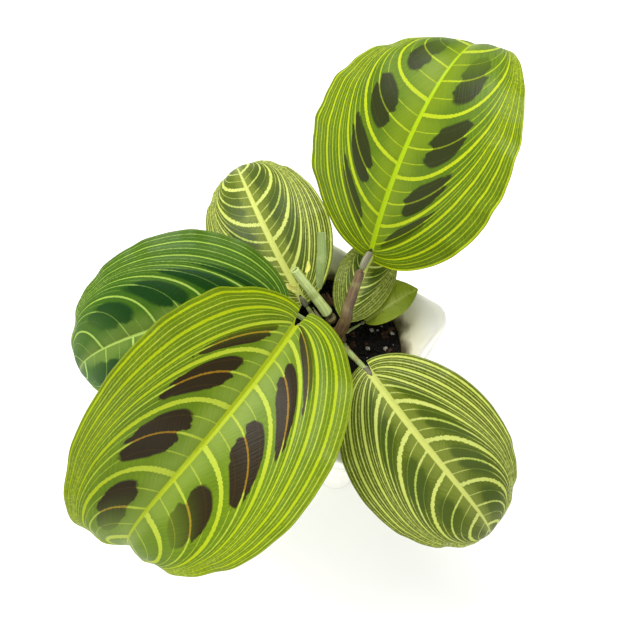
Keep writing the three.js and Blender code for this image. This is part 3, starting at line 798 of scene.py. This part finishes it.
# %% Stalks and swollen joints
STALKS = {
    "upper_right": ([(4, 8, 83), (5.5, 10, 90), (6, 12.5, 97), (4.8, 16, 102), (2.2, 30, 111.5),
                     (2, 38, 117)], 1.3, 9, stalk_red),
    "front": ([(5, 3.5, 82), (5.5, -2, 95), (3.5, -6.5, 107), (-1.5, -8.5, 114),
               (-5.6, -9.8, 117.2)], 1.3, 9, stalk_green),
    "left": ([(-.5, 5.5, 81.5), (-6, 3.7, 90), (-12.8, .9, 99.5), (-20.5, -2.2, 108.2)],
             1.2, 8, stalk_green),
    "lower_right": ([(8.6, 7.4, 79.5), (13, 4.5, 82.5), (19.2, 1.1, 88), (25.5, -3, 95.5),
                     (30.2, -5.8, 100.4)], 1.3, 6, stalk_green),
    "upper_left": ([(-2.2, 9, 79.5), (-8, 9.5, 83.5), (-14, 10.8, 88.5), (-18.4, 11.8, 93.3)],
                   1.1, 6, stalk_green),
    "middle": ([(3.6, 12.4, 82.8), (3.4, 13.4, 85), (3.7, 14.6, 87.2), (4.4, 15.8, 89.6)],
               0.8, 2.5, stalk_green),
    "small": ([(6, 13.3, 78.5), (7.6, 15.8, 80.5), (9.8, 18.6, 82.8), (11.6, 20.6, 84.7)],
              0.6, 2.5, stalk_green),
}


def fibre_relief(depth, ribs, seed):
    """Shallow lengthwise ribs and slow lumps, as a share of the radius."""
    def relief(far, angle):
        return (depth * np.sin(ribs * angle + seed) * 0.5
                + depth * np.sin(2 * angle + far * 0.5 + seed)
                + depth * 0.7 * np.sin(far * 1.3 + seed))
    return relief


for number, (leaf_name, (points, radius, joint, finish)) in enumerate(STALKS.items()):
    length = smooth_path(points)[0][-1]
    split = length - joint
    petiole = tube("stalk_" + leaf_name, points,
                   rounded_stations(split, lambda x: radius * (1.15 - 0.25 * x)),
                   relief=fibre_relief(0.03, 9, number))
    settle(petiole, ["petiole_" + leaf_name], finish)
    swollen = tube(
        "joint_" + leaf_name, points,
        rounded_stations(
            joint - 0.1, lambda x: radius * (1.0 + 0.32 * math.sin(math.pi * x)), steps=24,
            start=split + 0.1),
        along=40, relief=fibre_relief(0.035, 13, number + 2))
    settle(swollen, ["pulvinus_" + leaf_name], joint_grey)

# %% Crown, stem node and the cut stub
CROWN_CENTRE = (3, 9)
crown_low, crown_high = [corner.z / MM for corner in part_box("crown")]
crown_height = crown_high - crown_low
crown = tube(
    "crown_knob",
    [
        (*CROWN_CENTRE, crown_low), (*CROWN_CENTRE, crown_low + crown_height / 2),
        (*CROWN_CENTRE, crown_high)],
    [
        (0, 0), (0, 4.4), (1, 4.8), (2.3, 4.95), (3.6, 4.7), (5.2, 4.1), (6.0, 3.2), (6.35, 2.2),
        (crown_height, 0)],
    along=48, around=72, relief=fibre_relief(0.05, 14, 1))
settle(crown, ["crown"], crown_brown)

NODE_PATH = [(-1.6, 13, 82.4), (-2.4, 13.4, 84.4), (-3.2, 13.5, 86.4)]
node_length = smooth_path(NODE_PATH)[0][-1]
stem_node = tube("stem_node_ring", NODE_PATH,
                 rounded_stations(node_length, lambda x: 1.6 + 1.25 * x ** 0.7),
                 relief=fibre_relief(0.05, 11, 4), around=48)
settle(stem_node, ["stem_node"], crown_brown)

STUB_BASE = np.array((-4.3, 13.5, 88))
STUB_END = np.array((-24.1, 15.9, 108))
STUB_WIDE, STUB_NARROW, STUB_BORE, BORE_DEPTH = 2.7, 2.0, 1.3, 12
stub_length = np.linalg.norm(STUB_END - STUB_BASE)
stub_line = [STUB_BASE + (STUB_END - STUB_BASE) * x for x in (0, 0.33, 0.67, 1)]
stub_outside = [(stub_length * x, STUB_WIDE + (STUB_NARROW - STUB_WIDE) * x ** 0.8)
                for x in np.linspace(0.03, 0.985, 24)]
stub = tube("cut_stub_hollow", stub_line,
            [(0, 0), (0, 1.6), (0.2, 2.4)] + stub_outside
            + [(stub_length, STUB_NARROW - 0.25), (stub_length, STUB_BORE + 0.25),
               (stub_length - 0.35, STUB_BORE), (stub_length - BORE_DEPTH / 2, STUB_BORE),
               (stub_length - BORE_DEPTH, STUB_BORE), (stub_length - BORE_DEPTH, 0)],
            along=120, around=40, relief=fibre_relief(0.018, 16, 3))
settle(stub, ["cut_stub"], pale_stem)

# %% [markdown]
# ## Sheaths and torn scraps
#
# A leaf stalk starts inside a papery sheath that wraps most of the way round it and tears as the
# plant grows. It is an open trough, so the grid is bent round only part of a circle, its upper
# edge is cut ragged by a wave, and Solidify gives it its thickness.

# %% Sheaths
SHEATH_THICKNESS = 0.45


def sheath(name, points, radii, spread, turn, ragged, seed):
    """A trough round a path: spread and turn are the degrees it covers and faces."""
    path = smooth_path(points)
    length = path[0][-1]

    def places(s, t):
        torn = 1 - ragged * (0.5 + 0.5 * np.sin(9 * t + seed) * np.cos(23 * t + 2 * seed))
        far = s * length * torn
        centre, normal, binormal = on_path(path, far)
        angle = np.radians(turn + spread * (t - 0.5))
        radius = radii[0] + (radii[1] - radii[0]) * s + SHEATH_THICKNESS
        radius = radius * (1 + 0.03 * np.sin(7 * angle + seed) + 0.04 * np.sin(0.7 * far + 3 * t))
        return (centre + normal * (radius * np.cos(angle))[:, None]
                + binormal * (radius * np.sin(angle))[:, None])

    piece, s, t = lay_grid(name, 70, 40, places)
    run = np.stack([s * length, t * spread / 360], axis=-1)[corner_vertices(piece)]
    write_uv(piece, "run", run)
    apply_modifier(piece, "SOLIDIFY", thickness=SHEATH_THICKNESS * MM, offset=0)
    return piece


tall_stalk = STALKS["upper_right"][0][:5]
settle(sheath("sheath_tall_stalk", tall_stalk, (2.5, 1.4), 290, 90, ragged=0.03, seed=1.0),
       ["sheath_upper_right"], stalk_red)
settle(sheath("sheath_torn_dark", [(-5.4, 17.8, 84.5), (-8.2, 19, 88), (-10.6, 20, 91)],
              (1.6, 1.2), 150, 200, ragged=0.35, seed=2.0),
       ["sheath_dark"], sheath_brown)
settle(sheath("sheath_torn_papery", [(-4.6, 9.1, 81.1), (-8, 9.5, 83.5), (-13, 10.5, 87.6)],
              (2.1, 1.7), 200, 90, ragged=0.3, seed=3.0),
       ["sheath_papery"], sheath_pale)


# %% The rolled new leaf and the torn scraps
def strip(name, points, shape, thickness, jagged, cupped, seed=0.0):
    """A narrow strip along a path; shape lists its half-width from one end to the other."""
    path = smooth_path(points)
    length = path[0][-1]
    spots = np.linspace(0, 1, len(shape))

    def places(s, t):
        centre, normal, binormal = on_path(path, s * length)
        v = 2 * t - 1
        half = np.interp(s, spots, shape)
        teeth = np.abs(np.sin(11 * s * np.pi + seed) + 0.6 * np.sin(27 * s + 2 * seed + v))
        half = half * (1 - jagged * teeth * np.abs(v) ** 2) + 0.05
        lift = cupped * half * (v ** 2 - 0.4)
        return centre + normal * (half * v)[:, None] + binormal * lift[:, None]

    piece, s, t = lay_grid(name, 60, 16, places)
    write_uv(piece, "run", np.stack([s * length, t / 2], axis=-1)[corner_vertices(piece)])
    apply_modifier(piece, "SOLIDIFY", thickness=thickness * MM, offset=0)
    return piece


settle(
    strip(
        "rolled_leaf",
        [(-12.3, 18.1, 98.2), (-14.3, 22.4, 106.5), (-16.7, 27.6, 114), (-20.7, 33, 120)],
        (1, 1.7, 2.1, 2.2, 2.1, 1.9, 1.6), 0.7, 0.02, 0.35),
    ["rolled_new_leaf"], rolled_green)
SCRAPS = {
    "left": (
        [(-20.5, 12, 97.6), (-22.6, 10.4, 100.6), (-24.6, 9.6, 103)], (.8, 1.9, 1.2, 1.6, .5)),
    "right": ([(.6, 17.6, 86), (-.4, 20, 87.6), (-2.4, 22.6, 88.8)], (.5, 1.2, .8, 1.1, .4)),
    "stub": ([(-19.4, 18.3, 106), (-19.6, 20.4, 107), (-20.9, 22.6, 108.8)], (.5, 1.1, .8, .4))}
for number, (scrap_name, (points, shape)) in enumerate(SCRAPS.items()):
    settle(strip("scrap_" + scrap_name, points, shape, 0.35, 0.45, 0.5, seed=number),
           ["torn_scrap_" + scrap_name], scrap_yellow)

# %% [markdown]
# ## The nursery pot
#
# The pot is thin white polypropylene, injection moulded: square outside with a collar and three
# fine ribs, round inside at the soil and squarer towards the rim. Its wall is one sheet, so a plain
# circle is extruded again and again, up the outside, over the rim and down the inside. Each ring is
# then given its own height and its own rounded square. Both floors are filled, and drain holes are
# cut through them.

# %% Pot shape
POT_CORNER = 9.0
COLLAR = 7.0
RIB_HEIGHTS = (63, 70, 77)
FLOOR_THICKNESS = 3.0
CAVITY_BASE, CAVITY_SOIL, CAVITY_RIM = 33.5, 38.5, 43.4
DRAIN_RADIUS, DRAIN_RING, DRAIN_COUNT = 3.0, 24.0, 8
CORNER_STEPS = 14
soil_low, soil_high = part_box("potting_soil")
soil_top = soil_high.z / MM
pot_low, pot_high = [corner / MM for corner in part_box("pot")]
pot_half, pot_height = pot_high.x, pot_high.z
base_half, body_half = 37.0, 43.6


def square_ring(half, corner, z, turns=CORNER_STEPS):
    """Points of a rounded square, an equal number round each corner."""
    points = []
    for quarter in range(4):
        middle = math.pi / 2 * (quarter + 0.5)
        centre = (half - corner) * np.array([np.sign(math.cos(middle)), np.sign(math.sin(middle))])
        for step in range(turns + 1):
            angle = math.pi / 2 * (quarter + step / turns)
            points.append((*(centre + corner * np.array([math.cos(angle), math.sin(angle)])), z))
    return np.array(points)


def pot_levels():
    """Rings of the pot's skin: up the outside, over the rim and down the inside."""
    levels = [(base_half - 1.2, POT_CORNER - 1, 0.0), (base_half - 0.3, POT_CORNER, 0.25),
              (base_half, POT_CORNER, 1.2)]
    def wall(z):
        return base_half + (body_half - base_half) * z / (pot_height - COLLAR)
    for z in RIB_HEIGHTS:
        levels += [(wall(z - 1.1), POT_CORNER, z - 1.1), (wall(z) + 0.1, POT_CORNER, z - 0.8),
                   (wall(z) + 0.48, POT_CORNER, z - 0.35), (wall(z) + 0.48, POT_CORNER, z + 0.35),
                   (wall(z) + 0.1, POT_CORNER, z + 0.8), (wall(z + 1.1), POT_CORNER, z + 1.1)]
    under = pot_height - COLLAR
    levels += [
        (body_half, POT_CORNER, under - 0.2), (body_half + 0.2, POT_CORNER, under),
        (pot_half - 0.3, POT_CORNER, under + 0.1), (pot_half, POT_CORNER, under + 0.5),
        (pot_half, POT_CORNER, pot_height - 0.9), (pot_half - 0.15, POT_CORNER, pot_height - 0.35),
        (pot_half - 0.6, POT_CORNER - 0.4, pot_height), (CAVITY_RIM + 0.5, POT_CORNER, pot_height),
        (CAVITY_RIM + 0.1, POT_CORNER, pot_height - 0.3)]
    for share in np.linspace(0.95, 0, 14):
        eased = share ** 1.15
        half = CAVITY_SOIL + (CAVITY_RIM - CAVITY_SOIL) * eased
        corner = CAVITY_SOIL - 0.01 + (10 - CAVITY_SOIL) * eased
        levels.append((half, corner, soil_top + (pot_height - soil_top) * share))
    levels += [(CAVITY_BASE + 1, CAVITY_BASE + 0.99, 12), (CAVITY_BASE, CAVITY_BASE - 0.01, 4),
               (CAVITY_BASE - 1, CAVITY_BASE - 1.01, FLOOR_THICKNESS)]
    return levels


# %% Raise the pot ring by ring
bpy.ops.object.select_all(action="DESELECT")
bpy.ops.mesh.primitive_circle_add(vertices=4 * (CORNER_STEPS + 1), radius=base_half * MM,
                                  fill_type="NOTHING")
pot = bpy.context.object
pot.name = pot.data.name = "nursery_pot"
rings = pot_levels()
bpy.ops.object.mode_set(mode="EDIT")
bpy.ops.mesh.select_all(action="SELECT")
for _ in rings[1:]:
    bpy.ops.mesh.extrude_edges_move()
bpy.ops.object.mode_set(mode="OBJECT")
shaped = np.concatenate([square_ring(half, corner, z) for half, corner, z in rings])
pot.data.vertices.foreach_set("co", (shaped * MM).ravel())
pot.data.update()
weld_closed(pot)

bpy.ops.object.select_all(action="DESELECT")
drills = []
for index in range(DRAIN_COUNT):
    angle = 2 * math.pi * (index + 0.5) / DRAIN_COUNT
    bpy.ops.mesh.primitive_cylinder_add(
        vertices=32, radius=DRAIN_RADIUS * MM, depth=2 * FLOOR_THICKNESS * MM + 0.002,
        location=(DRAIN_RING * math.cos(angle) * MM, DRAIN_RING * math.sin(angle) * MM, 0.0015))
    drills.append(bpy.context.object)
for drill in drills:
    drill.select_set(True)
bpy.ops.object.join()
drill = bpy.context.object
apply_modifier(pot, "BOOLEAN", object=drill, operation="DIFFERENCE", solver="EXACT")
bpy.data.objects.remove(drill)
print("pot rings", len(rings), "box, mm", [round(c, 1) for c in (*pot_low, *pot_high)])


# %% Pot finish
# Moulded polypropylene: satin, IOR 1.49, faintly wavy from the mould. Low on the inside, the first
# centimetre above the soil is painted cream and then brown-grey: painted shade of the deep inner
# wall.
def pot_finish(name, painted_shade_inside):
    material, tree, shader, metres = start_finish(name, 0.38)
    mottled = wire(tree, NOISE, {"Vector": metres, "Scale": 60, "Detail": 3.0})
    surface = wire(tree, MIX, {0: mottled, 6: "#f6f4ee", 7: "#ebe8df"}, **COLOURS)
    if painted_shade_inside:
        height = wire(tree, SPLIT, metres, out=2)
        drift = wire(
            tree, "MULTIPLY", wire(tree, NOISE, {"Vector": metres, "Scale": 130, "Detail": 5.0}),
            10 * MM)
        level = wire(tree, "SUBTRACT", height, drift)
        # Painted shade: the inside turns cream from about a centimetre above the soil downwards.
        painted_shade_cream = wire(
            tree, RANGE, level, (soil_top + 10) * MM, (soil_top - 4) * MM, 0, 0.75, **SMOOTH)
        surface = wire(tree, MIX, {0: painted_shade_cream, 6: surface, 7: "#d9d3a8"}, **COLOURS)
        # Painted shade: brown-grey just above the soil, where the deep wall lies in shade.
        painted_shade_dark = wire(tree, RANGE, level, (soil_top + 0.5) * MM, (soil_top - 5) * MM, **SMOOTH)
        surface = wire(tree, MIX, {0: painted_shade_dark, 6: surface, 7: "#5a5038"}, **COLOURS)
    tree.links.new(surface, shader.inputs["Base Color"])
    shader.inputs["IOR"].default_value = 1.49
    shader.inputs["Subsurface Weight"].default_value = 0.08
    shader.inputs["Subsurface Radius"].default_value = (0.004, 0.004, 0.003)
    raise_bumps(tree, shader, wire(tree, NOISE, {"Vector": metres, "Scale": 420}), 0.10, 0.5)
    return material


pot.data.materials.clear()
pot.data.materials.append(pot_finish("moulded_white_plastic", False))
# The inside finish carries painted shade low on the wall.
pot.data.materials.append(pot_finish("moulded_white_plastic_inside_painted_shade", True))
for face in pot.data.polygons:
    outwards = Vector((face.center.x, face.center.y, 0)).dot(face.normal)
    face.material_index = 1 if outwards < -1e-4 and face.center.z > 0.004 else 0
settle(pot, ["pot"], None, angle=35)

# %% [markdown]
# ## Potting soil, perlite and bark
#
# The mix is dark moist peat, lumps of 1 to 4 mm, with white grains of expanded perlite and chips
# of bark. The surface is a grid drawn into a disc and raised by two sizes of lump, then taken down
# inside the pot as a plug. Hundreds of loose crumbs are one small lump, copied with its own turn
# and size, so that edges of crumbs catch the light.

# %% Soil surface
SOIL_RADIUS = 38.1
LUMP = 1.5


def soil_height(x, y):
    """Height of the soil in millimetres above its mean, from large and small lumps."""
    place = Vector((x, y, 0))
    broad = noise.fractal(place / 14, 1.0, 2.0, 3) * 0.9
    clods = 0.85 - noise.voronoi(place / 4.2)[0][0] * 1.4
    crumbs = 0.5 - noise.voronoi(place / 1.7 + Vector((9, 4, 2)))[0][0] * 0.9
    return broad + LUMP * 0.6 * clods + 0.55 * crumbs


def soil_places(s, t):
    x, y = 2 * s - 1, 2 * t - 1
    disc = np.stack(
        [x * np.sqrt(1 - y ** 2 / 2), y * np.sqrt(1 - x ** 2 / 2)], axis=-1) * SOIL_RADIUS
    raised = np.array([soil_height(*spot) for spot in disc])
    edge = np.clip((SOIL_RADIUS - np.hypot(*disc.T)) / 2.0, 0, 1)
    return np.column_stack([disc, soil_top - 0.6 + raised * (0.3 + 0.7 * edge)])


soil, _, _ = lay_grid("peat_surface", 170, 170, soil_places)
bpy.ops.object.mode_set(mode="EDIT")
bpy.ops.mesh.select_all(action="DESELECT")
bpy.ops.mesh.select_mode(type="EDGE")
bpy.ops.mesh.select_non_manifold()
bpy.ops.mesh.extrude_edges_move(
    TRANSFORM_OT_translate={"value": (0, 0, soil_low.z - (soil_top - 2) * MM)})
bpy.ops.transform.resize(value=(0.86, 0.86, 0.0))
bpy.ops.mesh.edge_face_add()
bpy.ops.mesh.select_all(action="SELECT")
bpy.ops.mesh.normals_make_consistent(inside=False)
bpy.ops.object.mode_set(mode="OBJECT")


def rough_finish(name, light, mid, dark, scale, relief_mm, roughness=0.95):
    """A crumbly or porous surface of three tones."""
    material, tree, shader, metres = start_finish(name, roughness)
    grain = wire(tree, NOISE, {"Vector": metres, "Scale": scale, "Detail": 6.0})
    surface = wire(
        tree, MIX, {0: wire(tree, RANGE, grain, 0.35, 0.6, **SMOOTH), 6: dark, 7: mid}, **COLOURS)
    surface = wire(
        tree, MIX, {0: wire(tree, RANGE, grain, 0.62, 0.78, **SMOOTH), 6: surface, 7: light},
        **COLOURS)
    tree.links.new(surface, shader.inputs["Base Color"])
    shader.inputs["Specular IOR Level"].default_value = 0.25
    raise_bumps(tree, shader, grain, relief_mm)
    return material


peat = rough_finish("moist_peat", "#2a1e16", "#0f0a07", "#040302", 900, 0.8)
settle(soil, ["potting_soil"], peat)


# %% Loose grains
def lump_shape(radius, size, roughness, levels, seed):
    """Vertices and faces of one rough lump, size giving its three half-widths."""
    bpy.ops.object.select_all(action="DESELECT")
    bpy.ops.mesh.primitive_ico_sphere_add(subdivisions=levels, radius=1)
    ball = bpy.context.object
    points = np.array([vertex.co for vertex in ball.data.vertices])
    faces = np.array([tuple(face.vertices) for face in ball.data.polygons])
    bpy.data.objects.remove(ball)
    shift = Vector((seed * 3.1, seed * 1.7, seed))
    swell = np.array([1 + roughness * noise.fractal(Vector(p) * 1.3 + shift, 0.8, 2.2, 4)
                      for p in points])
    return points * swell[:, None] * np.array(size) * radius, faces


def lump_piece(name, node, roughness, levels, seed, material, fullness=1.0):
    """A lump that fills this much of the box of a CAD node."""
    low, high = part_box(node)
    size = np.array(high - low) / MM / 2
    points, faces = lump_shape(1.0, size, roughness, levels, seed)
    points *= fullness * size / np.abs(points).max(axis=0)
    centre = np.array(low + high) / MM / 2
    mesh = bpy.data.meshes.new(name)
    mesh.from_pydata(((points + centre) * MM).tolist(), [], faces.tolist())
    piece = bpy.data.objects.new(name, mesh)
    bpy.context.collection.objects.link(piece)
    settle(piece, [node], material, angle=40)


perlite_white = rough_finish("expanded_perlite", "#c9c5bb", "#98938a", "#57524a", 700, 0.5, 0.85)
bark_brown = rough_finish("bark_chip", "#6d4a2f", "#46301f", "#23160d", 500, 0.6)
for index in range(1, 11):
    lump_piece(f"perlite_grain_{index}", f"perlite_{index}", 0.8, 4, index,
               perlite_white, 0.72)
for index in range(1, 5):
    lump_piece(f"bark_piece_{index}", f"bark_chip_{index}", 0.5, 4, 20 + index, bark_brown)


# %% Crumbs of peat and specks of perlite, many in one piece
def scatter(name, count, smallest, largest, flat, levels, seed, material):
    """Copies of one lump strewn over the soil, joined in one piece."""
    dice = np.random.default_rng(seed)
    points, faces = lump_shape(1.0, (1, 1, 1), 0.6, levels, seed)
    all_points, all_faces = [], []
    while len(all_points) < count:
        x, y = dice.uniform(-1, 1, 2) * (SOIL_RADIUS - 1.5)
        if math.hypot(x, y) > SOIL_RADIUS - 1.5:
            continue
        if math.hypot(x - CROWN_CENTRE[0], y - CROWN_CENTRE[1]) < 5.5:
            continue
        radius = dice.uniform(smallest, largest) * 0.5
        turn = dice.uniform(0, 2 * math.pi)
        stretch = dice.uniform(0.6, 1.3, 3) * np.array([1, 1, flat])
        shaped = points * stretch * radius
        cosine, sine = math.cos(turn), math.sin(turn)
        spun = np.column_stack([shaped[:, 0] * cosine - shaped[:, 1] * sine,
                                shaped[:, 0] * sine + shaped[:, 1] * cosine, shaped[:, 2]])
        rest = soil_top - 0.6 + soil_height(x, y) + radius * flat * 0.45
        all_faces.append(faces + len(points) * len(all_points))
        all_points.append(spun + np.array([x, y, rest]))
    mesh = bpy.data.meshes.new(name)
    mesh.from_pydata((np.concatenate(all_points) * MM).tolist(), [],
                     np.concatenate(all_faces).tolist())
    piece = bpy.data.objects.new(name, mesh)
    bpy.context.collection.objects.link(piece)
    settle(piece, [], material, angle=50)


scatter("peat_crumbs", 900, 0.7, 2.6, 0.8, 2, 11, peat)
scatter("bark_fines", 120, 1.2, 3.4, 0.4, 2, 12, bark_brown)
scatter("perlite_specks", 70, 0.6, 1.8, 0.8, 2, 13, perlite_white)
